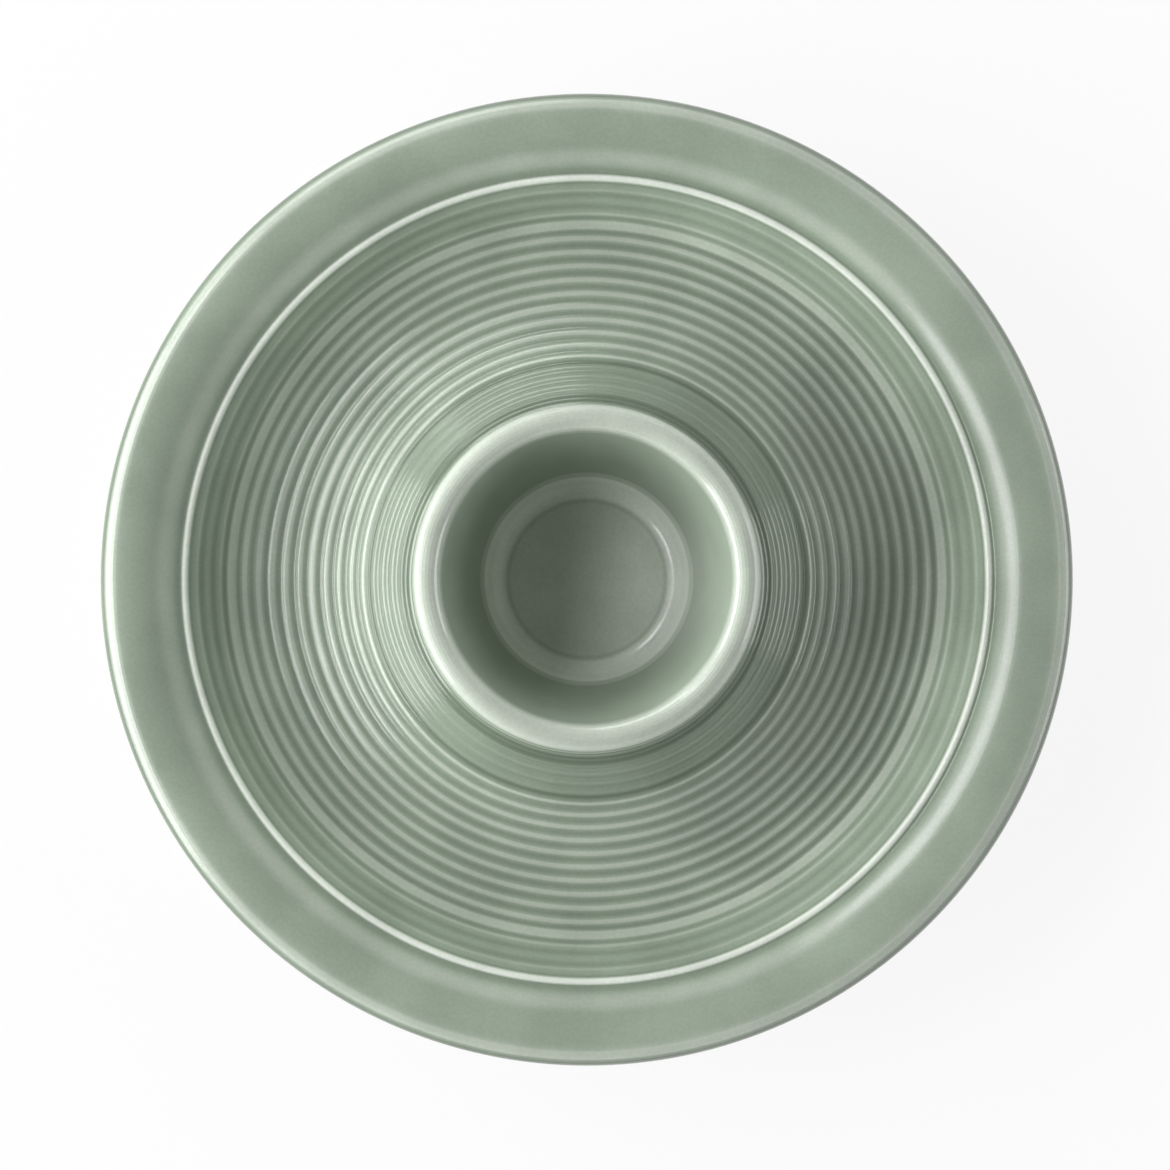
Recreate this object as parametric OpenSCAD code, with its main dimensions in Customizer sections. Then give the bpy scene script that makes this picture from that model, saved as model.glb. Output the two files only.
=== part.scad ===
// Egg cup standing in the middle of its own round tray.
// A separately made cup is seated in the open centre of a ribbed tray, bonded
// from below with a fillet of slip, and the tray stands on a bare foot ring.
// Origin: centre of the foot's contact plane. +Z up. Millimetres.

/* [Tray] */
// Diameter over the lip
tray_d = 130; // [120:0.5:145]
// Height of the lip above the table
lip_h = 18.2; // [17:0.1:21]
// Thickness of the tray's wall, and of its round lip
tray_t = 4.4; // [3.4:0.1:5]
// Width of the smooth band, from the top of the lip in to the groove
band_w = 8.1; // [6:0.05:10]
// Fall of the smooth band from the lip to the groove
band_fall = 2.5; // [2:0.1:3.2]
// Width of the bead, from the groove in to the ribbed wall
bead_w = 1.7; // [1.4:0.05:2.2]
// Fall of the bead from the groove to the ribbed wall
bead_fall = 1; // [0.7:0.05:1.2]
// Width of the ribbed wall, from the bead in to the corner ring
wall_w = 5; // [4:0.05:6]
// Height of the corner ring, where the wall meets the floor
corner_h = 8.8; // [8.2:0.1:9.8]
// Half of the angle through which the floor's hollow turns
floor_turn = 24.8; // [20:0.2:28]

/* [Ribs] */
// Height of a rib above the valleys beside it
rib_h = 0.2; // [0.12:0.01:0.32]
// Height of the corner ring above the valleys beside it
ring_h = 0.34; // [0.2:0.01:0.5]
// Height of the bead above the groove and the wall beside it
bead_h = 0.48; // [0.3:0.01:0.65]
// Ribs across the floor
floor_ribs = 10; // [8:1:12]
// Ribs on the tray's wall
wall_ribs = 3; // [2:1:4]
// Ribs on the cup's sloping base
base_ribs = 4; // [3:1:5]
// Ribs round the cup's flare
flare_ribs = 2; // [1:1:3]
// Ribs on the cup's upright side
side_ribs = 5; // [3:1:6]

/* [Egg cup] */
// Height of the cup above the table
cup_h = 40; // [37:0.5:45]
// Diameter over the rim
rim_d = 45.4; // [43:0.2:48]
// Thickness of the rim, which is round
rim_t = 3.6; // [3:0.1:4.2]
// Width of the cup's sloping base, from the flare out to the joint with the tray
base_w = 5.1; // [4.4:0.1:6]
// Height at which the cup's base leaves the tray's floor
joint_h = 12.2; // [11.6:0.1:13.2]
// Slope of the cup's base
base_angle = 44; // [41:1:50]
// Width of the flare between the sloping base and the upright side
flare_w = 1.1; // [0.8:0.05:1.6]
// Draft of the upright side: how far it leans in up to the rim
side_draft = 0.3; // [0.1:0.05:0.6]
// Width of the smooth band under the rim
rim_band_w = 7.6; // [5:0.2:9]
// Thickness of the cup's outer wall
cup_t = 3.3; // [2.8:0.1:3.8]

/* [Egg well] */
// Height of the well's bottom above the table
well_floor_h = 16; // [15:0.2:18]
// Diameter of the well's flat bottom
well_floor_d = 21; // [19:0.2:23]
// Radius of the fillet round the flat bottom
well_fillet = 2.4; // [1.8:0.1:3]
// Slope of the well's wall where it leaves that fillet
well_foot_angle = 70; // [66:1:73]
// Thickness of the bowl round the well
bowl_t = 3.4; // [2.8:0.1:4]

/* [Joint under the cup] */
// Height of the face where cup and tray touch side by side
seat_depth = 3.3; // [2.6:0.1:3.8]
// Thickness of the flange that carries the cup
flange_t = 2.8; // [2.2:0.1:3.2]
// Reach of that flange in from the joint
flange_w = 4.2; // [3.8:0.1:5]
// Leg of the fillet of slip in the joint's hidden corner
slip_leg = 1.4; // [1:0.1:1.6]
// Hollow of that fillet's face
slip_hollow = 0.2; // [0.1:0.05:0.3]

/* [Foot] */
// Place of the foot, as a share of the way from the joint out to the corner
foot_place_share = 0.628; // [0.5:0.002:0.72]
// Width of the foot where it joins the floor, as a share of that way
foot_root_share = 0.34; // [0.28:0.01:0.42]
// Width of the foot's bare ring
foot_w = 3.2; // [2.6:0.1:4]
// Height of the bare ring
bare_h = 1.1; // [0.8:0.1:1.5]
// Radius of the bare ring's lower edges
foot_round = 0.6; // [0.3:0.05:0.7]
// Hollow of the foot's two flanks
foot_flank = 0.5; // [0.2:0.05:0.7]

/* [Hidden] */
$fn = 128;

// Points for each rib, and for each plain arc
rib_steps = 8;
arc_steps = 10;

// Radius at which the cup's sloping base leaves the flare
base_top_r = rim_d / 2 + side_draft + flare_w;

// Corners of the tray's upper side, from the lip in to the joint with the cup
lip_r = tray_t / 2;
crest = [tray_d / 2 - lip_r, lip_h];
groove = crest - [band_w, band_fall];
wall_top = groove - [bead_w, bead_fall];
corner = [wall_top[0] - wall_w, corner_h];
joint = [base_top_r + base_w, joint_h];

// The foot, to the middle of its contact face, and its half widths
foot_r = joint[0] + foot_place_share * (corner[0] - joint[0]);
foot_root = foot_root_share * (corner[0] - joint[0]) / 2;
foot_half = foot_w / 2;

// Shares of the band and of the wall at which their undersides meet
band_under_share = 0.05;
wall_under_share = 0.9;
// Radius of the flange's edge, as a share of its thickness
flange_round_share = 0.3;

// The seat under the cup and the flange that forms it
seat = [joint[0], joint_h - seat_depth];
flange_h = seat[1] - flange_t;
flange_round = flange_t * flange_round_share;
flange_edge_r = seat[0] - flange_w + flange_round;

// Corners of the cup's outside, from the rim down to the joint
rim_round = rim_t / 2;
rim_side = [rim_d / 2, cup_h - rim_round];
rim_inside = rim_side - [rim_t, 0];
base_top = [base_top_r, joint_h + base_w * tan(base_angle)];
side_foot = base_top + flare_w * [-1, tan(45 + base_angle / 2)];
side_top = rim_side - rim_band_w * (rim_side - side_foot) / norm(rim_side - side_foot);

// Inside of the cup's sloping base, where it stands on the seat
skirt_w = (cup_t - seat_depth * cos(base_angle)) / sin(base_angle);
skirt = seat - [skirt_w, 0];

// The well: a flat bottom, a fillet and a bowed wall up to the rim
well_centre = [well_floor_d / 2, well_floor_h + well_fillet];
well_foot = well_centre + well_fillet * [sin(well_foot_angle), -cos(well_foot_angle)];

// The hollow between the bowl and the sloping base, open below: how far up
// each of them its round top begins, and that top's rise for its width
bowl_shoulder_share = 0.16;
base_shoulder_share = 0.02;
hollow_top_share = 0.4;

// Length and direction of the straight line from p to q
function span(p, q) = norm(q - p);
function bearing(p, q) = atan2(q[1] - p[1], q[0] - p[0]);

// A circular arc from p to q, whose middle stands bow to the left of that line.
// Half of the angle through which it turns
function half_turn(p, q, bow) = 2 * atan(2 * bow / span(p, q));
// Its direction, and its point, at a share of its length
function heading(p, q, bow, share) = bearing(p, q) + half_turn(p, q, bow) * (1 - 2 * share);
function along(p, q, bow, share) =
    bow == 0
        ? p + share * (q - p)
        : let (
            radius = span(p, q) / (2 * sin(half_turn(p, q, bow))),
            start = heading(p, q, bow, 0),
            here = heading(p, q, bow, share)
        )
        p + radius * [sin(start) - sin(here), cos(here) - cos(start)];
// That point, moved sideways to the left
function beside(p, q, bow, share, side) =
    let (turn = heading(p, q, bow, share))
    along(p, q, bow, share) + side * [-sin(turn), cos(turn)];
// The bow of an arc that leaves p in a given direction, or reaches q in one
function bow_leaving(p, q, start) = span(p, q) / 2 * tan((start - bearing(p, q)) / 2);
function bow_reaching(p, q, end) = span(p, q) / 2 * tan((bearing(p, q) - end) / 2);

// Points of an arc, from one share of its length to another
function arc(p, q, bow, side = 0, from = 0, to = 1, steps = arc_steps) = [
    for (i = [0:steps])
        beside(p, q, bow, from + (to - from) * i / steps, side)
];
// Points round a centre, from one angle to another
function round_about(centre, radius, from, to, steps = arc_steps) = [
    for (i = [0:steps])
        let (turn = from + (to - from) * i / steps)
        centre + radius * [cos(turn), sin(turn)]
];

// Rise of a row of ribs at a share of its length. The row begins first_turn of a
// rib past a valley, and its first and last half ribs can have their own heights.
function rib_rise(share, ribs, first_turn, first_h, last_h) =
    let (
        own_h = share * ribs <= 1 / 2 ? first_h : (1 - share) * ribs <= 1 / 2 ? last_h : rib_h
    )
    own_h * (1 - cos(360 * (first_turn + share * ribs))) / 2;
// Points of a ribbed arc, up to the point before its last
function ribbed(p, q, bow, ribs, first_turn = 0, first_h = rib_h, last_h = rib_h) =
    let (steps = ribs * rib_steps)
    [
        for (i = [0:steps - 1])
            beside(p, q, bow, i / steps, rib_rise(i / steps, ribs, first_turn, first_h, last_h))
    ];

band_bow = bow_reaching(groove, crest, 0);
floor_bow = bow_leaving(joint, corner, bearing(joint, corner) - floor_turn);
flare_bow = bow_reaching(side_foot, base_top, -base_angle);
well_bow = bow_leaving(well_foot, rim_inside, well_foot_angle);

// Upper side of the tray, from the joint out over the lip
function tray_top() = concat(
    ribbed(joint, corner, floor_bow, floor_ribs + 1 / 2, last_h = ring_h),
    ribbed(corner, wall_top, 0, wall_ribs + 1 / 2, 1 / 2, ring_h),
    ribbed(wall_top, groove, 0, 1, 0, bead_h, bead_h),
    arc(groove, crest, band_bow),
    round_about(crest - [0, lip_r], lip_r, 90, -90)
);

// The floor's underside, which is concentric with its upper side: its radius,
// its centre, and the share of its length at a radius or a height of its own
floor_start = heading(joint, corner, floor_bow, 0);
floor_end = heading(joint, corner, floor_bow, 1);
floor_radius = span(joint, corner) / (2 * sin((floor_end - floor_start) / 2));
floor_centre = joint + floor_radius * [-sin(floor_start), cos(floor_start)];
under_radius = floor_radius + tray_t;
function floor_share(turn) = (turn - floor_start) / (floor_end - floor_start);
function under_share_at_r(r) = floor_share(asin((r - floor_centre[0]) / under_radius));
function under_share_at_h(h) = floor_share(-acos((floor_centre[1] - h) / under_radius));
function floor_under(from, to, steps) = arc(joint, corner, floor_bow, -tray_t, from, to, steps);

// Underside of the tray at an even thickness, from the lip in to the foot
function rim_under() = concat(
    arc(groove, crest, band_bow, -tray_t, 1, band_under_share),
    arc(corner, wall_top, 0, -tray_t, wall_under_share, 0, 1),
    round_about(corner, tray_t, bearing(corner, wall_top) - 90, floor_end - 90, 4)
);

// The foot: hollow flanks that run down to the bare ring
function foot_under() =
    let (
        out_share = under_share_at_r(foot_r + foot_root),
        in_share = under_share_at_r(foot_r - foot_root),
        out_root = beside(joint, corner, floor_bow, out_share, -tray_t),
        in_root = beside(joint, corner, floor_bow, in_share, -tray_t)
    )
    concat(
        floor_under(1, out_share, 4),
        arc(out_root, [foot_r + foot_half, bare_h], -foot_flank, steps = 6),
        arc([foot_r - foot_half, bare_h], in_root, -foot_flank, steps = 6),
        floor_under(in_share, under_share_at_h(flange_h), 4)
    );

// The flange under the cup, and the seat on it
function tray_flange() = concat(
    round_about([flange_edge_r, flange_h + flange_round], flange_round, -90, -180, 4),
    round_about([flange_edge_r, seat[1] - flange_round], flange_round, 180, 90, 4),
    [seat]
);

// Inside of the well, from its centre up to the rim, and over the rim
function cup_inside() = concat(
    [[0, well_floor_h]],
    round_about(well_centre, well_fillet, -90, well_foot_angle - 90, 6),
    arc(well_foot, rim_inside, well_bow, steps = 16),
    round_about(rim_side - [rim_round, 0], rim_round, 180, 0, 12)
);

// Outside of the cup, from the rim down to its seat
function cup_outside() = concat(
    ribbed(side_top, side_foot, 0, side_ribs),
    ribbed(side_foot, base_top, flare_bow, flare_ribs),
    ribbed(base_top, joint, 0, base_ribs),
    [joint, seat, skirt]
);

// Underside of the cup: the hollow behind its side, and the bowl
function cup_under() =
    let (
        outer = beside(base_top, joint, 0, base_shoulder_share, -cup_t),
        inner = beside(well_foot, rim_inside, well_bow, bowl_shoulder_share, -bowl_t)
    )
    concat(
        arc(outer, inner, -span(outer, inner) * hollow_top_share),
        arc(well_foot, rim_inside, well_bow, -bowl_t, bowl_shoulder_share, 0, 4),
        round_about(well_centre, well_fillet + bowl_t, well_foot_angle - 90, -90, 8),
        [[0, well_floor_h - bowl_t]]
    );

// Ribbed tray with its smooth band, its foot and the flange under the cup
module tray() {
    color([0.62, 0.69, 0.59])
        rotate_extrude()
            polygon(concat(tray_top(), rim_under(), foot_under(), tray_flange()));
}

// The cup, with its well and its ribbed, flared side
module egg_cup() {
    color([0.66, 0.73, 0.63])
        rotate_extrude()
            polygon(concat(cup_inside(), cup_outside(), cup_under()));
}

// Fillet of slip that bonds the cup to its seat
module luting_ring() {
    slip_up = skirt + slip_leg * [-cos(base_angle), sin(base_angle)];
    color([0.58, 0.65, 0.55])
        rotate_extrude()
            polygon(concat([skirt], arc(skirt - [slip_leg, 0], slip_up, -slip_hollow, steps = 4)));
}

// Bare ring on which the tray stands
module foot_ring() {
    color([0.9, 0.89, 0.85])
        rotate_extrude()
            polygon(concat(
                [[foot_r - foot_half, bare_h]],
                round_about([foot_r - foot_half + foot_round, foot_round], foot_round, 180, 270, 4),
                round_about([foot_r + foot_half - foot_round, foot_round], foot_round, 270, 360, 4),
                [[foot_r + foot_half, bare_h]]
            ));
}

tray();
egg_cup();
luting_ring();
foot_ring();
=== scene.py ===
# Egg cup with its own ribbed tray: glazed porcelain turned round one upright axis.
# Every piece is a half section, drawn from the sizes below, with the ribs raised
# and the section turned by one geometry node tree. Metres, in the part's own frame.

import math

import bpy
from bpy.props import (
    FloatProperty,
    FloatVectorProperty,
    IntProperty,
    PointerProperty,
)
from mathutils import Matrix, Vector


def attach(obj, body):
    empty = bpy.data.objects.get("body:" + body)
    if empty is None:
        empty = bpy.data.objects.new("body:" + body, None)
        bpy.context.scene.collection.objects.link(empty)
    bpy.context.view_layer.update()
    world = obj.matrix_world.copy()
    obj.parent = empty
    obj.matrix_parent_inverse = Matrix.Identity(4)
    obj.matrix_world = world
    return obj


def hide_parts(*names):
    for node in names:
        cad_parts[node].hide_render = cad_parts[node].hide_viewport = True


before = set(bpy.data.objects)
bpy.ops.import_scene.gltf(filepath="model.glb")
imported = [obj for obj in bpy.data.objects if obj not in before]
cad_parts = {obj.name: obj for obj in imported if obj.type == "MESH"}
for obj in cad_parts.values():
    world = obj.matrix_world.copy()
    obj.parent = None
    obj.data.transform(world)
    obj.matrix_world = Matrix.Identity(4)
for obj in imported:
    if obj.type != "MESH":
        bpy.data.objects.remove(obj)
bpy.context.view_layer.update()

bl_info = {
    "name": "Ribbed egg cup",
    "version": (1, 0, 0),
    "blender": (4, 5, 0),
    "location": "3D View > Sidebar > Egg cup",
    "description": "Glazed porcelain egg cup in the middle of its own ribbed tray",
    "category": "Add Mesh",
}

MM = 0.001

# Attributes of a section. Ribs: the way that they rise, how far, and the turns of their
# wave. Regions: their share, and the level of their glaze, which in some regions is painted
# light or painted shade.
RIB_NORMAL = "rib_normal"
RIB_HEIGHT = "rib_height"
RIB_TURN = "rib_turn"
REGION = "region"
REGION_LEVEL = "region_level"

# Attribute of the turned piece: the level by which the glaze breaks or gathers, and in some
# regions the level of painted light or painted shade. Above zero it stands for an edge, and in
# some regions for painted light; below zero for a hollow, and in some regions for painted
# shade.
# It is on the scale of its curve per millimetre.
GLAZE_AND_PAINTED_LIGHT = "edge_break"

# Points round the axis
TRAY_SEGMENTS = 240
CUP_SEGMENTS = 200


def size(name, description, millimetres):
    """A length that the user can set, given in millimetres."""
    return FloatProperty(
        name=name,
        description=description,
        default=millimetres * MM,
        unit="LENGTH",
        precision=5,
    )


def angle(name, description, degrees):
    return FloatProperty(
        name=name,
        description=description,
        default=math.radians(degrees),
        subtype="ANGLE",
    )


def count(name, description, default):
    return IntProperty(name=name, description=description, default=default, min=1)


def colour(name, description, default):
    return FloatVectorProperty(
        name=name,
        description=description,
        default=default,
        subtype="COLOR",
        min=0.0,
        max=1.0,
    )


def share(name, description, default):
    return FloatProperty(name=name, description=description, default=default, min=0.0, max=1.0)


def amount(name, description, default):
    return FloatProperty(name=name, description=description, default=default, min=0.0)


class TrayForm(bpy.types.PropertyGroup):
    """Sizes of the tray's section, from the lip in to the joint with the cup."""

    diameter: size("Diameter", "Over the lip", 130)
    lip_height: size("Lip height", "Height of the lip above the table", 18.2)
    thickness: size("Thickness", "Of the wall, and of its round lip", 4.4)
    band_width: size("Band width", "Smooth band, from the lip in to the groove", 8.1)
    band_fall: size("Band fall", "Fall of the smooth band to the groove", 2.5)
    bead_width: size("Bead width", "Bead between the groove and the ribbed wall", 1.7)
    bead_fall: size("Bead fall", "Fall of the bead from the groove to the wall", 1)
    wall_width: size("Wall width", "Ribbed wall, in to the corner ring", 5)
    corner_height: size("Corner height", "Where the wall meets the floor", 8.8)
    floor_turn: angle("Floor turn", "Half of the angle through which the floor turns", 24.8)


class RibForm(bpy.types.PropertyGroup):
    """Heights and numbers of the ribs."""

    height: size("Rib height", "Above the valleys beside it", 0.2)
    ring_height: size("Corner ring height", "Above the valleys beside it", 0.34)
    bead_height: size("Bead height", "Above the groove and the wall", 0.48)
    floor: count("Floor ribs", "Ribs across the tray's floor", 10)
    wall: count("Wall ribs", "Ribs on the tray's wall", 3)
    base: count("Base ribs", "Ribs on the cup's sloping base", 4)
    flare: count("Flare ribs", "Ribs round the cup's flare", 2)
    side: count("Side ribs", "Ribs on the cup's upright side", 5)


class CupForm(bpy.types.PropertyGroup):
    """Sizes of the cup's section."""

    height: size("Height", "Above the table", 40)
    rim_diameter: size("Rim diameter", "Over the rim", 45.4)
    rim_thickness: size("Rim thickness", "Of the round rim", 3.6)
    base_width: size("Base width", "Sloping base, from the flare out to the joint", 5.1)
    joint_height: size("Joint height", "Where the cup leaves the tray's floor", 12.2)
    base_angle: angle("Base angle", "Slope of the cup's base", 44)
    flare_width: size("Flare width", "From the base to the upright side", 1.1)
    side_draft: size("Side draft", "How far the upright side leans in", 0.3)
    rim_band: size("Rim band", "Smooth band under the rim", 7.6)
    thickness: size("Thickness", "Of the cup's outer wall", 3.3)
    well_height: size("Well height", "Of the well's bottom above the table", 16)
    well_floor: size("Well floor", "Diameter of the well's flat bottom", 21)
    well_fillet: size("Well fillet", "Radius round the flat bottom", 2.4)
    well_foot_angle: angle("Well foot angle", "Slope where the well's wall begins", 70)
    bowl_thickness: size("Bowl thickness", "Round the well", 3.4)


class JointForm(bpy.types.PropertyGroup):
    """Sizes of the joint under the cup."""

    seat_depth: size("Seat depth", "Height of the face where cup and tray touch", 3.3)
    flange_thickness: size("Flange thickness", "Of the flange that carries the cup", 2.8)
    flange_reach: size("Flange reach", "In from the joint", 4.2)
    slip_leg: size("Slip leg", "Leg of the fillet of slip", 1.4)
    slip_hollow: size("Slip hollow", "Hollow of that fillet's face", 0.2)


class FootForm(bpy.types.PropertyGroup):
    """Sizes of the foot."""

    place: share("Place", "Of the foot, on the way from the joint to the corner", 0.628)
    root: share("Root", "Width where it joins the floor, as a share of that way", 0.34)
    width: size("Width", "Of the bare ring", 3.2)
    bare_height: size("Bare height", "Of the bare ring", 1.1)
    rounding: size("Rounding", "Radius of the bare ring's lower edges", 0.6)
    flank_hollow: size("Flank hollow", "Hollow of the foot's flanks", 0.5)


class GlazeLook(bpy.types.PropertyGroup):
    """Colours and gloss of the fired surfaces, and the colours that paint light and shade on
    them.
    """

    # The pale and dark colours below, with the breaks and pools, also give the colour of a
    # region's painted light and painted shade.
    glaze: colour("Glaze", "Moss green of the glaze", (0.31, 0.375, 0.295))
    thin_glaze_and_painted_light: colour("Thin glaze", "Where it breaks over an edge", (0.8, 0.85, 0.77))
    pooled_glaze_and_painted_shade: colour("Pooled glaze", "Where it gathers in a hollow", (0.115, 0.155, 0.105))
    body: colour("Bare body", "Unglazed porcelain", (0.72, 0.69, 0.62))
    body_stain: colour("Body stain", "Wear on the bare body", (0.42, 0.39, 0.34))
    soft_break: share("Soft break", "How far the glaze thins over soft edges", 0.32)
    sharp_break: share("Sharp break", "How much further it thins over sharp edges", 0.09)
    bare_break: share("Bare break", "How much further it thins where it hardly covers", 0.6)
    soft_pool: share("Soft pool", "How far the glaze darkens in soft hollows", 0.34)
    deep_pool: share("Deep pool", "How much further it darkens in deep hollows", 0.55)
    gloss_roughness: share("Gloss roughness", "Of the glaze's surface", 0.15)


class StudioForm(bpy.types.PropertyGroup):
    """Lamps, the room's light and the camera."""

    window: amount("Window", "Wide softbox low on the left, in watts", 11.6)
    key: amount("Key", "Softbox high on the left, in watts", 4.7)
    fill: amount("Fill", "Softbox low on the right, in watts", 2.3)
    back: amount("Back", "Softbox low at the back, in watts", 2.8)
    horizon: amount("Horizon", "Strength of the room's light at the horizon", 1.0)
    overhead: amount("Overhead", "Strength of the room's light overhead", 0.1)
    camera_height: size("Camera height", "Above the lip", 900)
    camera_tilt: angle("Camera tilt", "Away from straight down", 0.48)
    frame_width: size("Frame width", "Width of the picture at the lip", 156.45)


# Softboxes: zenith and azimuth in degrees, width and height in metres. Azimuth 0 is +X,
# turning towards +Y.
SOFTBOXES = {
    "window": (71, 184, 1.3, 0.45),
    "key": (41, 172, 1.3, 0.22),
    "fill": (76, 0, 0.8, 0.3),
    "back": (72, 112, 0.7, 0.35),
}
SOFTBOX_DISTANCE = 1.0

# The room's light fades from the horizon's to the light overhead while a direction's
# height above the ground, from 0 to 1, goes from the first value to the second
ROOM_FADE = (0.2, 0.75)

# Half the width of the floor, the tone of its paper, and the share of it that the camera
# sees as plain white
FLOOR_HALF_WIDTH = 2.0
PAPER_TONE = 0.86
PAPER_SEEN_WHITE = 0.88

# Width of the picture, and how far right of its middle and above it the cup stands, in
# pixels. Width of the camera's sensor, in millimetres.
PICTURE_WIDTH = 1170
CUP_RIGHT = 1.8
CUP_UP = 5.6
SENSOR_WIDTH = 36.0

FORMS = {
    "eggcup_tray": TrayForm,
    "eggcup_ribs": RibForm,
    "eggcup_cup": CupForm,
    "eggcup_joint": JointForm,
    "eggcup_foot": FootForm,
    "eggcup_glaze": GlazeLook,
    "eggcup_studio": StudioForm,
}

# Sections: points (radius, height) with the outside on the left

QUARTER = math.pi / 2


def flat(x, y):
    return Vector((x, y))


def towards(turn):
    """Unit step in a direction."""
    return flat(math.cos(turn), math.sin(turn))


def bearing(p, q):
    return math.atan2(q.y - p.y, q.x - p.x)


def half_turn(p, q, bow):
    """Half the angle of an arc from p to q whose middle stands bow to the left."""
    return 2 * math.atan(2 * bow / (q - p).length)


def heading(p, q, bow, at):
    """Direction of that arc at a share of its length."""
    return bearing(p, q) + half_turn(p, q, bow) * (1 - 2 * at)


def along(p, q, bow, at):
    """Point of that arc at a share of its length."""
    if bow == 0:
        return p.lerp(q, at)
    radius = (q - p).length / (2 * math.sin(half_turn(p, q, bow)))
    start = heading(p, q, bow, 0)
    here = heading(p, q, bow, at)
    return p + radius * flat(math.sin(start) - math.sin(here), math.cos(here) - math.cos(start))


def left_of(turn):
    return flat(-math.sin(turn), math.cos(turn))


def beside(p, q, bow, at, side):
    """That point, moved to the left."""
    return along(p, q, bow, at) + side * left_of(heading(p, q, bow, at))


def bow_leaving(p, q, start):
    """Bow of an arc that leaves p in a direction."""
    return (q - p).length / 2 * math.tan((start - bearing(p, q)) / 2)


def bow_reaching(p, q, end):
    """Bow of an arc that reaches q in a direction."""
    return (q - p).length / 2 * math.tan((bearing(p, q) - end) / 2)


class Outline:
    """Half section of a turned piece: its points, and the ribs that rise from them."""

    STEP = 0.42 * MM
    SAME_PLACE = 0.01 * MM
    RIB_STEPS = 16
    HALF_RIB = 0.5

    def __init__(self):
        self.places = []
        self.normals = []
        self.rib_heights = []
        self.rib_turns = []
        self.regions = []
        self.shown = 0

    def add(self, place, normal=None, rib_height=0.0, rib_turn=0.0):
        """Adds a point, unless it is a smooth one at the place of the last."""
        if self.places and rib_height == 0:
            if (place - self.places[-1]).length < self.SAME_PLACE:
                return
        self.places.append(place)
        self.normals.append(normal or flat(0, 1))
        self.rib_heights.append(rib_height)
        self.rib_turns.append(rib_turn)

    def arc(self, p, q, bow=0.0, side=0.0, start=0.0, end=1.0):
        length = (q - p).length * abs(end - start)
        steps = max(2, round(length / self.STEP))
        for i in range(steps + 1):
            self.add(beside(p, q, bow, start + (end - start) * i / steps, side))

    def round_about(self, centre, radius, start, end):
        steps = max(4, round(radius * abs(end - start) / self.STEP))
        for i in range(steps + 1):
            self.add(centre + radius * towards(start + (end - start) * i / steps))

    def ribs(
        self,
        p,
        q,
        bow,
        number,
        height,
        first_turn=0.0,
        first_height=None,
        last_height=None,
        came_from=None,
    ):
        """A row of ribs without its last point. A rib that it shares with the row before it
        leans between both rows: came_from is the direction in which that row ended.
        """
        steps = round(number * self.RIB_STEPS)
        for i in range(steps):
            at = i / steps
            own = height
            if first_height is not None and at * number <= self.HALF_RIB:
                own = first_height
            elif last_height is not None and (1 - at) * number <= self.HALF_RIB:
                own = last_height
            turn = heading(p, q, bow, at)
            if i == 0 and came_from is not None:
                turn = (turn + came_from) / 2
            self.add(along(p, q, bow, at), left_of(turn), own, first_turn + at * number)

    def region(self, place, level, core, reach, weight=1.0):
        """Gives the glaze a level of its own round a place, in some regions a level of painted
        light
        or painted shade: whole within the core, and gone at its reach. Both are measured on the
        outline before its ribs are raised.
        """
        self.regions.append((place, level, core, reach, weight))

    def turn_under(self):
        """From here on the outline is the underside, which has no regions."""
        self.shown = len(self.places)

    def region_at(self, number):
        """Weight and level of the region that is strongest at a point."""
        place = self.places[number]
        found = [(0.0, 0.0)]
        if number >= self.shown and place != self.places[0]:
            return found[0]
        for middle, level, core, reach, weight in self.regions:
            away = (place - middle).length
            fade = (reach - away) / (reach - core)
            found.append((weight * min(1.0, max(0.0, fade)), level))
        return max(found)

    def close(self):
        self.places.append(self.places[0])
        self.normals.append(self.normals[0])
        self.rib_heights.append(self.rib_heights[0])
        self.rib_turns.append(self.rib_turns[0])

    def mesh(self, name):
        """The section as a line of edges in the XZ plane, with its ribs as attributes."""
        made = bpy.data.meshes.new(name)
        points = [(p.x, 0.0, p.y) for p in self.places]
        made.from_pydata(points, [(i, i + 1) for i in range(len(points) - 1)], [])
        made.attributes.new(RIB_NORMAL, "FLOAT_VECTOR", "POINT")
        normals = [value for n in self.normals for value in (n.x, 0.0, n.y)]
        made.attributes[RIB_NORMAL].data.foreach_set("vector", normals)
        regions = [self.region_at(number) for number in range(len(self.places))]
        numbers = {
            RIB_HEIGHT: self.rib_heights,
            RIB_TURN: self.rib_turns,
            REGION: [own for own, _ in regions],
            REGION_LEVEL: [level for _, level in regions],
        }
        for attribute, values in numbers.items():
            made.attributes.new(attribute, "FLOAT", "POINT")
            made.attributes[attribute].data.foreach_set("value", values)
        return made


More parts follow.
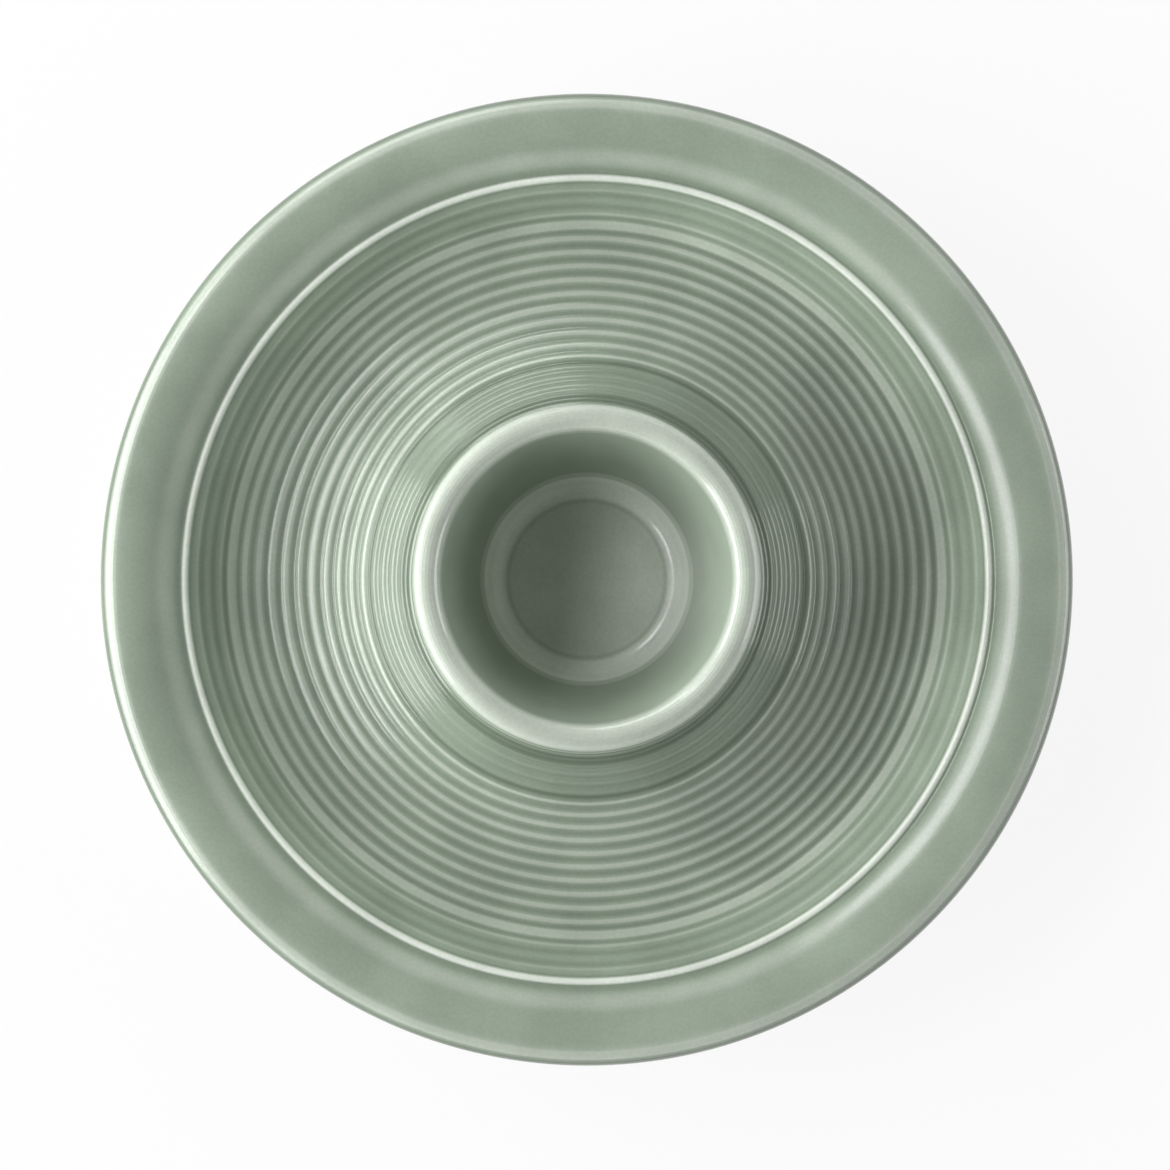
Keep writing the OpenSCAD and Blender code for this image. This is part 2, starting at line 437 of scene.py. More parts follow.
class Layout:
    """Corners that the sections share, worked out from the forms."""

    # Rounding of the flange's edge, as a share of its thickness
    FLANGE_ROUND = 0.3
    # Where the undersides of band and wall end, on the way up each, with a flat between
    BAND_UNDER = 0.05
    WALL_UNDER = 0.9
    # Where the top of the hollow meets bowl and base, and its bow as a share of its width
    BOWL_SHOULDER = 0.16
    BASE_SHOULDER = 0.02
    HOLLOW_TOP = 0.4
    # Places of their own level: on the way up the wall, on the bead and out on the band, as
    # shares, and round the lip, as angles above its outermost line. The place on the band has a
    # painted highlight, and the lowest place round the lip painted shade.
    WALL_DARK_BAND = 0.6
    BEAD_CREST = 0.42
    BAND_PAINTED_HIGHLIGHT = 0.24
    LIP_PALE = 0.36 * math.pi
    LIP_PAINTED_SHADE = -0.02 * math.pi

    def __init__(self, scene):
        tray, cup = scene.eggcup_tray, scene.eggcup_cup
        joint, foot = scene.eggcup_joint, scene.eggcup_foot
        self.lip = tray.thickness / 2
        self.crest = flat(tray.diameter / 2 - self.lip, tray.lip_height)
        self.groove = self.crest - flat(tray.band_width, tray.band_fall)
        self.wall_top = self.groove - flat(tray.bead_width, tray.bead_fall)
        self.corner = flat(self.wall_top.x - tray.wall_width, tray.corner_height)
        base_top = cup.rim_diameter / 2 + cup.side_draft + cup.flare_width
        self.joint = flat(base_top + cup.base_width, cup.joint_height)
        self.base_top = self.joint + cup.base_width * flat(-1, math.tan(cup.base_angle))
        self.seat = self.joint - flat(0, joint.seat_depth)
        self.flange_round = joint.flange_thickness * self.FLANGE_ROUND
        self.flange_height = self.seat.y - joint.flange_thickness
        self.flange_edge = self.seat.x - joint.flange_reach + self.flange_round
        floor = self.corner.x - self.joint.x
        self.foot = self.joint.x + foot.place * floor
        self.foot_root = foot.root * floor / 2

        self.rim_round = cup.rim_thickness / 2
        self.rim_side = flat(cup.rim_diameter / 2, cup.height - self.rim_round)
        self.rim_inside = self.rim_side - flat(cup.rim_thickness, 0)
        rise = math.tan(math.pi / 4 + cup.base_angle / 2)
        self.side_foot = self.base_top + cup.flare_width * flat(-1, rise)
        side = (self.rim_side - self.side_foot).length
        self.side_top = self.rim_side.lerp(self.side_foot, cup.rim_band / side)
        skirt = cup.thickness - joint.seat_depth * math.cos(cup.base_angle)
        self.skirt = self.seat - flat(skirt / math.sin(cup.base_angle), 0)
        self.well_centre = flat(cup.well_floor / 2, cup.well_height + cup.well_fillet)
        self.well_foot = self.well_centre + cup.well_fillet * towards(
            cup.well_foot_angle - QUARTER
        )


def tray_outline(scene):
    """The tray: ribbed floor and wall, bead, band, lip, underside, foot and flange."""
    tray, ribs, foot = scene.eggcup_tray, scene.eggcup_ribs, scene.eggcup_foot
    at = Layout(scene)
    sag = bow_leaving(at.joint, at.corner, bearing(at.joint, at.corner) - tray.floor_turn)
    band = bow_reaching(at.groove, at.crest, 0)
    line = Outline()
    # The floor's row and the wall's share the corner ring, half of it each
    half_rib = line.HALF_RIB
    line.ribs(
        at.joint,
        at.corner,
        sag,
        ribs.floor + half_rib,
        ribs.height,
        last_height=ribs.ring_height,
    )
    line.ribs(
        at.corner,
        at.wall_top,
        0,
        ribs.wall + half_rib,
        ribs.height,
        first_turn=half_rib,
        first_height=ribs.ring_height,
        came_from=heading(at.joint, at.corner, sag, 1),
    )
    line.ribs(at.wall_top, at.groove, 0, 1, ribs.bead_height)
    line.arc(at.groove, at.crest, band)
    round_centre = at.crest - flat(0, at.lip)
    line.round_about(round_centre, at.lip, QUARTER, -QUARTER)
    line.turn_under()

    thick = -tray.thickness
    line.arc(at.groove, at.crest, band, thick, 1, at.BAND_UNDER)
    line.arc(at.corner, at.wall_top, 0, thick, at.WALL_UNDER, 0)
    start = heading(at.joint, at.corner, sag, 0)
    end = heading(at.joint, at.corner, sag, 1)
    wall = bearing(at.corner, at.wall_top)
    line.round_about(at.corner, tray.thickness, wall - QUARTER, end - QUARTER)

    # The floor's underside is concentric with its upper side
    radius = (at.corner - at.joint).length / (2 * math.sin((end - start) / 2))
    centre = at.joint + radius * left_of(start)
    radius += tray.thickness

    def share_at_radius(r):
        return (math.asin((r - centre.x) / radius) - start) / (end - start)

    out_share = share_at_radius(at.foot + at.foot_root)
    in_share = share_at_radius(at.foot - at.foot_root)
    flange_share = (-math.acos((centre.y - at.flange_height) / radius) - start) / (end - start)
    out_root = beside(at.joint, at.corner, sag, out_share, thick)
    in_root = beside(at.joint, at.corner, sag, in_share, thick)
    out_bare = flat(at.foot + foot.width / 2, foot.bare_height)
    in_bare = flat(at.foot - foot.width / 2, foot.bare_height)
    line.arc(at.joint, at.corner, sag, thick, 1, out_share)
    line.arc(out_root, out_bare, -foot.flank_hollow)
    line.arc(in_bare, in_root, -foot.flank_hollow)
    line.arc(at.joint, at.corner, sag, thick, in_share, flange_share)

    low = flat(at.flange_edge, at.flange_height + at.flange_round)
    high = flat(at.flange_edge, at.seat.y - at.flange_round)
    line.round_about(low, at.flange_round, -QUARTER, -2 * QUARTER)
    line.round_about(high, at.flange_round, 2 * QUARTER, QUARTER)
    line.add(at.seat)
    line.close()

    wall_dark_band = at.corner.lerp(at.wall_top, at.WALL_DARK_BAND)
    bead = at.wall_top.lerp(at.groove, at.BEAD_CREST) + ribs.bead_height * towards(QUARTER)
    band_painted_highlight = along(at.groove, at.crest, band, at.BAND_PAINTED_HIGHLIGHT)
    lip_pale = round_centre + at.lip * towards(at.LIP_PALE)
    lip_painted_shade = round_centre + at.lip * towards(at.LIP_PAINTED_SHADE)
    line.region(at.joint, level=-2.2, core=0.1 * MM, reach=0.9 * MM)
    # The corner ring: the glaze thinning over its raised rib, and a painted highlight.
    line.region(at.corner, level=0.9, core=0.5 * MM, reach=1.1 * MM)
    # A darker band partway up the wall, where the wall has no hollow.
    line.region(wall_dark_band, level=-0.9, core=1.4 * MM, reach=2.8 * MM, weight=0.4)
    line.region(bead, level=4.5, core=0.45 * MM, reach=0.85 * MM)
    line.region(at.groove, level=-1.1, core=0.1 * MM, reach=0.7 * MM)
    # Painted highlight on the band, just out from the groove.
    line.region(band_painted_highlight, level=0.5, core=0.4 * MM, reach=1.8 * MM)
    line.region(lip_pale, level=1.0, core=0.3 * MM, reach=1.0 * MM)
    # Painted shade along the lip's outermost line.
    line.region(lip_painted_shade, level=-2.6, core=1.5 * MM, reach=2.3 * MM)
    return line


def cup_outline(scene):
    """The cup: well, rim, ribbed side and base, and the hollow underneath."""
    cup, ribs = scene.eggcup_cup, scene.eggcup_ribs
    at = Layout(scene)
    well = bow_leaving(at.well_foot, at.rim_inside, cup.well_foot_angle)
    flare = bow_reaching(at.side_foot, at.base_top, -cup.base_angle)
    line = Outline()
    line.arc(flat(0, cup.well_height), flat(at.well_centre.x, cup.well_height))
    line.round_about(at.well_centre, cup.well_fillet, -QUARTER, cup.well_foot_angle - QUARTER)
    line.arc(at.well_foot, at.rim_inside, well)
    line.round_about(at.rim_side - flat(at.rim_round, 0), at.rim_round, 2 * QUARTER, 0)
    line.arc(at.rim_side, at.side_top)
    line.ribs(at.side_top, at.side_foot, 0, ribs.side, ribs.height)
    line.ribs(at.side_foot, at.base_top, flare, ribs.flare, ribs.height)
    line.ribs(at.base_top, at.joint, 0, ribs.base, ribs.height)
    line.add(at.joint)
    line.turn_under()
    line.add(at.seat)
    line.add(at.skirt)

    outer = beside(at.base_top, at.joint, 0, at.BASE_SHOULDER, -cup.thickness)
    inner = beside(at.well_foot, at.rim_inside, well, at.BOWL_SHOULDER, -cup.bowl_thickness)
    line.arc(outer, inner, -(inner - outer).length * at.HOLLOW_TOP)
    line.arc(at.well_foot, at.rim_inside, well, -cup.bowl_thickness, at.BOWL_SHOULDER, 0)
    bowl = cup.well_fillet + cup.bowl_thickness
    line.round_about(at.well_centre, bowl, cup.well_foot_angle - QUARTER, -QUARTER)
    line.arc(at.well_centre - flat(0, bowl), flat(0, at.well_centre.y - bowl))

    well_bottom = flat(0, cup.well_height)
    flat_edge = at.well_centre.x - 0.4 * MM
    rim_top = at.rim_inside + flat(at.rim_round, at.rim_round)
    base_middle = at.base_top.lerp(at.joint, 0.5)
    # Painted light: the well's flat bottom is made pale.
    line.region(well_bottom, level=3.3, core=flat_edge, reach=at.well_foot.x)
    # Painted highlight: a pale ring in the hollow round the well's bottom.
    line.region(at.well_foot, level=4.6, core=1.9 * MM, reach=4.4 * MM)
    line.region(rim_top, level=2.1, core=1.4 * MM, reach=3.2 * MM)
    # The crease under the cup's upright side: glaze gathered there, and painted shade.
    line.region(at.base_top, level=-2.5, core=0.8 * MM, reach=1.7 * MM)
    # The cup's sloping base, darkened all round; it has no hollow there.
    line.region(base_middle, level=-1.9, core=3.0 * MM, reach=5.0 * MM, weight=0.75)
    line.region(at.joint, level=-2.2, core=0.2 * MM, reach=1.1 * MM)
    return line


def luting_outline(scene):
    """The fillet of slip between the cup's skirt and the flange under it."""
    cup, joint = scene.eggcup_cup, scene.eggcup_joint
    at = Layout(scene)
    up = at.skirt + joint.slip_leg * towards(math.pi - cup.base_angle)
    line = Outline()
    line.add(at.skirt)
    line.arc(at.skirt - flat(joint.slip_leg, 0), up, -joint.slip_hollow)
    line.close()
    return line


def foot_outline(scene):
    """The bare ring on which the tray stands."""
    foot = scene.eggcup_foot
    at = Layout(scene)
    inner = at.foot - foot.width / 2
    outer = at.foot + foot.width / 2
    rounding = foot.rounding
    line = Outline()
    line.add(flat(outer, foot.bare_height))
    line.round_about(flat(outer - rounding, rounding), rounding, 4 * QUARTER, 3 * QUARTER)
    line.round_about(flat(inner + rounding, rounding), rounding, 3 * QUARTER, 2 * QUARTER)
    line.add(flat(inner, foot.bare_height))
    line.close()
    return line


# Geometry nodes: ribs raised on the section, and the section turned into a piece


class Tree:
    """Adds nodes to a tree and links them."""

    def __init__(self, tree):
        self.tree = tree

    def node(self, kind, inputs=None, **settings):
        made = self.tree.nodes.new(kind)
        for name, value in settings.items():
            setattr(made, name, value)
        for socket, value in (inputs or {}).items():
            self.feed(made.inputs[socket], value)
        return made

    def feed(self, socket, value):
        """Links a socket to another, or gives it a plain value."""
        if isinstance(value, bpy.types.NodeSocket):
            self.tree.links.new(value, socket)
        else:
            socket.default_value = value

    def math(self, operation, a, b=None, c=None):
        made = self.node("ShaderNodeMath", operation=operation)
        for socket, value in zip(made.inputs, (a, b, c)):
            if value is not None:
                self.feed(socket, value)
        return made.outputs[0]

    def vector(self, operation, a, b=None, scale=None):
        made = self.node("ShaderNodeVectorMath", operation=operation)
        self.feed(made.inputs[0], a)
        if b is not None:
            self.feed(made.inputs[1], b)
        if scale is not None:
            self.feed(made.inputs["Scale"], scale)
        return made.outputs["Value" if operation in ("DOT_PRODUCT", "LENGTH") else "Vector"]


def group_socket(tree, name, direction, kind, default=None):
    made = tree.interface.new_socket(name, in_out=direction, socket_type=kind)
    if default is not None:
        made.default_value = default


def turning_tree():
    """Raises the ribs of a section, measures where the glaze breaks, puts in each region's
    level, in some regions painted light or painted shade, and turns it.
    """
    name = "Turned ware"
    if name in bpy.data.node_groups:
        return bpy.data.node_groups[name]
    tree = bpy.data.node_groups.new(name, "GeometryNodeTree")
    group_socket(tree, "Section", "INPUT", "NodeSocketGeometry")
    group_socket(tree, "Segments", "INPUT", "NodeSocketInt", TRAY_SEGMENTS)
    group_socket(tree, "Rib height", "INPUT", "NodeSocketFloat", 1.0)
    group_socket(tree, "Blur steps", "INPUT", "NodeSocketInt", 2)
    group_socket(tree, "Sharp angle", "INPUT", "NodeSocketFloat", 0.9)
    group_socket(tree, "Weld distance", "INPUT", "NodeSocketFloat", 0.002 * MM)
    group_socket(tree, "Material", "INPUT", "NodeSocketMaterial")
    group_socket(tree, "Ware", "OUTPUT", "NodeSocketGeometry")
    t = Tree(tree)
    given = t.node("NodeGroupInput").outputs

    def attribute(name, kind="FLOAT"):
        return t.node(
            "GeometryNodeInputNamedAttribute", {"Name": name}, data_type=kind
        ).outputs["Attribute"]

    def sample(source, value, index, kind):
        return t.node(
            "GeometryNodeSampleIndex",
            {"Geometry": source, "Value": value, "Index": index},
            data_type=kind,
            domain="POINT",
            clamp=True,
        ).outputs["Value"]

    # Ribs: half a cosine wave from valley to crest, along the section's normal
    wave = t.math("COSINE", t.math("MULTIPLY", attribute(RIB_TURN), math.tau))
    rise = t.math("MULTIPLY", t.math("SUBTRACT", 1.0, wave), 0.5)
    height = t.math("MULTIPLY", attribute(RIB_HEIGHT), given["Rib height"])
    offset = t.vector(
        "SCALE", attribute(RIB_NORMAL, "FLOAT_VECTOR"), scale=t.math("MULTIPLY", rise, height)
    )
    ribbed = t.node(
        "GeometryNodeSetPosition", {"Geometry": given["Section"], "Offset": offset}
    ).outputs["Geometry"]

    # Curve of the section per millimetre: above zero on an edge, below in a hollow. A
    # region puts its own level in its place, which in some regions is painted light or painted
    # shade.
    # region puts its own level in its place.
    index = t.node("GeometryNodeInputIndex").outputs["Index"]
    position = t.node("GeometryNodeInputPosition").outputs["Position"]
    before = sample(ribbed, position, t.math("SUBTRACT", index, 1.0), "FLOAT_VECTOR")
    after = sample(ribbed, position, t.math("ADD", index, 1.0), "FLOAT_VECTOR")
    stride = t.vector("SUBTRACT", after, before)
    outward = t.vector("CROSS_PRODUCT", t.vector("NORMALIZE", stride), (0.0, 1.0, 0.0))
    bend = t.vector(
        "SUBTRACT", t.vector("ADD", before, after), t.vector("SCALE", position, scale=2.0)
    )
    half = t.math("MULTIPLY", t.vector("LENGTH", stride), 0.5)
    curve = t.math(
        "DIVIDE", t.vector("DOT_PRODUCT", outward, bend), t.math("MULTIPLY", half, half)
    )
    blurred = t.node(
        "GeometryNodeBlurAttribute",
        {"Value": t.math("MULTIPLY", curve, -MM), "Iterations": given["Blur steps"]},
        data_type="FLOAT",
    ).outputs["Value"]
    break_and_painted_light = t.node(
        "ShaderNodeMix",
        {"Factor": attribute(REGION), "A": blurred, "B": attribute(REGION_LEVEL)},
        data_type="FLOAT",
    ).outputs["Result"]
    section = t.node(
        "GeometryNodeStoreNamedAttribute",
        {"Geometry": ribbed, "Name": GLAZE_AND_PAINTED_LIGHT, "Value": break_and_painted_light},
        data_type="FLOAT",
        domain="POINT",
    ).outputs["Geometry"]

    # A grid takes the section's points along one side and is turned along the other. Half
    # a point is added before a point's column is rounded down, to be clear of its edge.
    points = t.node(
        "GeometryNodeAttributeDomainSize", {"Geometry": section}, component="MESH"
    ).outputs["Point Count"]
    grid = t.node(
        "GeometryNodeMeshGrid",
        {
            "Vertices X": t.math("ADD", given["Segments"], 1.0),
            "Vertices Y": points,
        },
    ).outputs["Mesh"]
    here = t.node("GeometryNodeInputIndex").outputs["Index"]
    row = t.math("FLOORED_MODULO", here, points)
    column = t.math("FLOOR", t.math("DIVIDE", t.math("ADD", here, 0.5), points))
    turn = t.math("DIVIDE", t.math("MULTIPLY", column, math.tau), given["Segments"])
    place = t.node("GeometryNodeInputPosition").outputs["Position"]
    turned = t.node(
        "ShaderNodeVectorRotate",
        {"Vector": sample(section, place, row, "FLOAT_VECTOR"), "Angle": turn},
        rotation_type="Z_AXIS",
    ).outputs["Vector"]
    marked = t.node(
        "GeometryNodeStoreNamedAttribute",
        {
            "Geometry": grid,
            "Name": GLAZE_AND_PAINTED_LIGHT,
            "Value": sample(section, attribute(GLAZE_AND_PAINTED_LIGHT), row, "FLOAT"),
        },
        data_type="FLOAT",
        domain="POINT",
    ).outputs["Geometry"]
    ware = t.node(
        "GeometryNodeSetPosition", {"Geometry": marked, "Position": turned}
    ).outputs["Geometry"]
    outwards = t.node("GeometryNodeFlipFaces", {"Mesh": ware}).outputs["Mesh"]
    welded = t.node(
        "GeometryNodeMergeByDistance",
        {"Geometry": outwards, "Distance": given["Weld distance"]},
    ).outputs["Geometry"]
    edge_angle = t.node("GeometryNodeInputMeshEdgeAngle").outputs["Unsigned Angle"]
    sharp = t.node(
        "GeometryNodeSetShadeSmooth",
        {
            "Geometry": welded,
            "Selection": t.math("GREATER_THAN", edge_angle, given["Sharp angle"]),
            "Shade Smooth": False,
        },
        domain="EDGE",
    ).outputs["Geometry"]
    real = t.node("GeometryNodeRealizeInstances", {"Geometry": sharp}).outputs["Geometry"]
    finished = t.node(
        "GeometryNodeSetMaterial", {"Geometry": real, "Material": given["Material"]}
    ).outputs["Geometry"]
    t.feed(t.node("NodeGroupOutput").inputs["Ware"], finished)
    return tree


def socket_id(tree, name):
    """Identifier by which a modifier knows an input of its tree."""
    for item in tree.interface.items_tree:
        if item.item_type == "SOCKET" and item.in_out == "INPUT" and item.name == name:
            return item.identifier
    raise KeyError(f"the tree has no input named {name}")


def turned_piece(name, outline, segments, material):
    """A closed piece, turned from its outline, as a plain mesh at the origin."""
    section = bpy.data.objects.new(name + "_section", outline.mesh(name + "_section"))
    bpy.context.scene.collection.objects.link(section)
    tree = turning_tree()
    modifier = section.modifiers.new("Turn", "NODES")
    modifier.node_group = tree
    modifier[socket_id(tree, "Segments")] = segments
    modifier[socket_id(tree, "Material")] = material
    bpy.context.view_layer.update()
    graph = bpy.context.evaluated_depsgraph_get()
    mesh = bpy.data.meshes.new_from_object(section.evaluated_get(graph))
    mesh.name = name
    line = section.data
    bpy.data.objects.remove(section)
    bpy.data.meshes.remove(line)
    if not mesh.polygons:
        raise RuntimeError(f"{name} came out empty")
    piece = bpy.data.objects.new(name, mesh)
    bpy.context.scene.collection.objects.link(piece)
    return piece


# Materials

# Nearly all of a noise lies between these values
NOISE = (0.3, 0.7)

# Levels between which the glaze thins over edges and darkens in hollows, and between which a
# region's painted light grows pale and its painted shade dark
SOFT_EDGE = (0.0, 0.75)
SHARP_EDGE = (1.2, 2.4)
BARE_EDGE = (2.6, 4.2)
SOFT_HOLLOW = (0.0, -1.1)
DEEP_HOLLOW = (-1.3, -2.4)

# How far the clouds in the glaze move its level up and down
LEVEL_DRIFT = 0.25


def mottle_group():
    """Soft clouds and fine grains of the fired surface, from its own coordinates."""
    name = "Fired mottle"
    if name in bpy.data.node_groups:
        return bpy.data.node_groups[name]
    tree = bpy.data.node_groups.new(name, "ShaderNodeTree")
    group_socket(tree, "Cloud size", "INPUT", "NodeSocketFloat", 9 * MM)
    group_socket(tree, "Grain size", "INPUT", "NodeSocketFloat", 0.5 * MM)
    group_socket(tree, "Clouds", "OUTPUT", "NodeSocketFloat")
    group_socket(tree, "Grains", "OUTPUT", "NodeSocketFloat")
    t = Tree(tree)
    given = t.node("NodeGroupInput").outputs
    place = t.node("ShaderNodeTexCoord").outputs["Object"]

    def noise(width, detail):
        spread = t.vector("SCALE", place, scale=t.math("DIVIDE", 1.0, width))
        return t.node(
            "ShaderNodeTexNoise", {"Vector": spread, "Scale": 1.0, "Detail": detail}
        ).outputs["Fac"]

    result = t.node("NodeGroupOutput").inputs
    t.feed(result["Clouds"], noise(given["Cloud size"], detail=3.0))
    t.feed(result["Grains"], noise(given["Grain size"], detail=1.0))
    return tree


def new_material(name):
    made = bpy.data.materials.new(name)
    made.use_nodes = True
    made.node_tree.nodes.clear()
    return made, Tree(made.node_tree)


def mixed(t, factor, a, b):
    """Colour mixed from a to b. Sockets of one name are told apart by their numbers."""
    made = t.node("ShaderNodeMix", data_type="RGBA", clamp_factor=True)
    t.feed(made.inputs["Factor"], factor)
    t.feed(made.inputs[6], a)
    t.feed(made.inputs[7], b)
    return made.outputs[2]


def ranged(t, value, span, low=0.0, high=1.0):
    """Smooth step from low to high while the value crosses its span."""
    start, end = span
    return t.node(
        "ShaderNodeMapRange",
        {"Value": value, "From Min": start, "From Max": end, "To Min": low, "To Max": high},
        interpolation_type="SMOOTHSTEP",
    ).outputs["Result"]


def rgba(values):
    return (*values, 1.0)


def glaze_material(look):
    """Moss green glaze: it thins and turns pale over edges and is deep where it gathers;
    painted light makes it pale and painted shade dark where a region sets its level.
    """
    name = "Moss green glaze"
    if name in bpy.data.materials:
        return bpy.data.materials[name]
    made, t = new_material(name)
    mottle = t.node("ShaderNodeGroup", node_tree=mottle_group())
    t.feed(mottle.inputs["Cloud size"], 11 * MM)
    t.feed(mottle.inputs["Grain size"], 0.45 * MM)
    # The level: the glaze's break, and in some regions painted light or painted shade.
    bend = t.node("ShaderNodeAttribute", attribute_name=GLAZE_AND_PAINTED_LIGHT).outputs["Fac"]
    centred = t.math("SUBTRACT", mottle.outputs["Clouds"], 0.5)
    level = t.math("ADD", bend, t.math("MULTIPLY", centred, LEVEL_DRIFT))

    def tiers(*steps):
        """Sum of smooth steps, each over a span of levels and as high as its share."""
        total = 0.0
        for span, height in steps:
            total = t.math("MULTIPLY_ADD", ranged(t, level, span), height, total)
        return total

    # Pale share: the glaze thinning over edges, and a region's painted light.
    thin_glaze_and_painted_light = tiers(
        (SOFT_EDGE, look.soft_break),
        (SHARP_EDGE, look.sharp_break),
        (BARE_EDGE, look.bare_break),
    )
    # Dark share: the glaze gathering in hollows, and a region's painted shade.
    pooled_glaze_and_painted_shade = tiers((SOFT_HOLLOW, look.soft_pool), (DEEP_HOLLOW, look.deep_pool))
    cloud = ranged(t, mottle.outputs["Clouds"], NOISE, 0.94, 1.06)
    grain = ranged(t, mottle.outputs["Grains"], NOISE, 0.97, 1.03)
    deep = mixed(t, pooled_glaze_and_painted_shade, rgba(look.glaze), rgba(look.pooled_glaze_and_painted_shade))
    tone = mixed(t, thin_glaze_and_painted_light, deep, rgba(look.thin_glaze_and_painted_light))
    mottled = t.vector("SCALE", tone, scale=t.math("MULTIPLY", cloud, grain))
    ripple = t.node(
        "ShaderNodeBump",
        {"Height": mottle.outputs["Clouds"], "Strength": 0.12, "Distance": 0.2 * MM},
    ).outputs["Normal"]
    surface = t.node(
        "ShaderNodeBsdfPrincipled",
        {
            "Base Color": mottled,
            "Roughness": ranged(t, mottle.outputs["Grains"], NOISE, 0.34, 0.42),
            "IOR": 1.5,
            "Specular IOR Level": 0.15,
            "Coat Weight": 1.0,
            "Coat Roughness": look.gloss_roughness,
            "Coat IOR": 1.55,
            "Normal": ripple,
        },
    )
    t.feed(t.node("ShaderNodeOutputMaterial").inputs["Surface"], surface.outputs["BSDF"])
    return made


def bare_material(look):
    """Unglazed porcelain with faint stains of wear."""
    name = "Bare porcelain"
    if name in bpy.data.materials:
        return bpy.data.materials[name]
    made, t = new_material(name)
    mottle = t.node("ShaderNodeGroup", node_tree=mottle_group())
    t.feed(mottle.inputs["Cloud size"], 5 * MM)
    t.feed(mottle.inputs["Grain size"], 0.3 * MM)
    stain = ranged(t, mottle.outputs["Clouds"], (0.45, 0.7), 0.0, 0.35)
    tone = mixed(t, stain, rgba(look.body), rgba(look.body_stain))
    grain = ranged(t, mottle.outputs["Grains"], NOISE, 0.93, 1.04)
    rough = t.node(
        "ShaderNodeBump",
        {"Height": mottle.outputs["Grains"], "Strength": 0.35, "Distance": 0.05 * MM},
    ).outputs["Normal"]
    surface = t.node(
        "ShaderNodeBsdfPrincipled",
        {
            "Base Color": t.vector("SCALE", tone, scale=grain),
            "Roughness": ranged(t, mottle.outputs["Clouds"], NOISE, 0.62, 0.75),
            "Normal": rough,
        },
    )
    t.feed(t.node("ShaderNodeOutputMaterial").inputs["Surface"], surface.outputs["BSDF"])
    return made


def floor_material():
    """White paper that keeps the shadow of what stands on it."""
    made, t = new_material("White paper")
    path = t.node("ShaderNodeLightPath").outputs
    seen = t.math("MAXIMUM", path["Is Camera Ray"], path["Is Glossy Ray"])
    seen = t.math("MAXIMUM", seen, path["Is Transmission Ray"])
    paper = t.node("ShaderNodeBsdfDiffuse", {"Color": rgba((PAPER_TONE,) * 3)})
    white = t.node("ShaderNodeEmission", {"Color": rgba((1.0,) * 3), "Strength": 1.0})
    mixing = t.node("ShaderNodeMixShader")
    t.feed(mixing.inputs[0], t.math("MULTIPLY", seen, PAPER_SEEN_WHITE))
    t.feed(mixing.inputs[1], paper.outputs["BSDF"])
    t.feed(mixing.inputs[2], white.outputs["Emission"])
    t.feed(t.node("ShaderNodeOutputMaterial").inputs["Surface"], mixing.outputs[0])
    return made


# Operators


def register_piece(piece, node):
    """The piece stands for its node and rides on the part's one body."""
    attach(piece, "root")
    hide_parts(node)


class EGGCUP_OT_tray(bpy.types.Operator):
    """Makes the ribbed tray"""

    bl_idname = "eggcup.tray"
    bl_label = "Tray"

    def execute(self, context):
        scene = context.scene
        glaze = glaze_material(scene.eggcup_glaze)
        piece = turned_piece("tray_ware", tray_outline(scene), TRAY_SEGMENTS, glaze)
        register_piece(piece, "tray")
        return {"FINISHED"}


class EGGCUP_OT_cup(bpy.types.Operator):
    """Makes the cup with its well"""

    bl_idname = "eggcup.cup"
    bl_label = "Cup"

    def execute(self, context):
        scene = context.scene
        glaze = glaze_material(scene.eggcup_glaze)
        piece = turned_piece("cup_ware", cup_outline(scene), CUP_SEGMENTS, glaze)
        register_piece(piece, "egg_cup")
        return {"FINISHED"}


class EGGCUP_OT_luting_ring(bpy.types.Operator):
    """Makes the fillet of slip under the cup"""

    bl_idname = "eggcup.luting_ring"
    bl_label = "Luting ring"

    def execute(self, context):
        scene = context.scene
        glaze = glaze_material(scene.eggcup_glaze)
        piece = turned_piece("luting_fillet", luting_outline(scene), CUP_SEGMENTS, glaze)
        register_piece(piece, "luting_ring")
        return {"FINISHED"}


class EGGCUP_OT_foot_ring(bpy.types.Operator):
    """Makes the bare ring on which the tray stands"""

    bl_idname = "eggcup.foot_ring"
    bl_label = "Foot ring"

    def execute(self, context):
        scene = context.scene
        bare = bare_material(scene.eggcup_glaze)
        piece = turned_piece("bare_foot", foot_outline(scene), TRAY_SEGMENTS, bare)
        register_piece(piece, "foot_ring")
        return {"FINISHED"}


def softbox(name, power, aim):
    """A large area lamp at its place round the cup, facing it."""
    zenith, azimuth, wide, high = SOFTBOXES[name]
    data = bpy.data.lights.new(name, "AREA")
    data.shape = "RECTANGLE"
    data.size = wide
    data.size_y = high
    data.energy = power
    lamp = bpy.data.objects.new(name, data)
    turn = Matrix.Rotation(math.radians(azimuth + 90), 4, "Z")
    turn = turn @ Matrix.Rotation(math.radians(zenith), 4, "X")
    away = turn.to_3x3() @ Vector((0, 0, SOFTBOX_DISTANCE))
    lamp.matrix_world = Matrix.Translation(aim + away) @ turn
    bpy.context.scene.collection.objects.link(lamp)


def room(studio):
    """White light at the horizon, and hardly any overhead."""
    world = bpy.data.worlds.new("room")
    world.use_nodes = True
    world.node_tree.nodes.clear()
    t = Tree(world.node_tree)
    upward = t.node(
        "ShaderNodeSeparateXYZ", {"Vector": t.node("ShaderNodeTexCoord").outputs["Generated"]}
    ).outputs["Z"]
    light = ranged(t, upward, ROOM_FADE, studio.horizon, studio.overhead)
    white = t.node("ShaderNodeBackground", {"Color": (1, 1, 1, 1), "Strength": light})
    t.feed(t.node("ShaderNodeOutputWorld").inputs["Surface"], white.outputs[0])
    return world


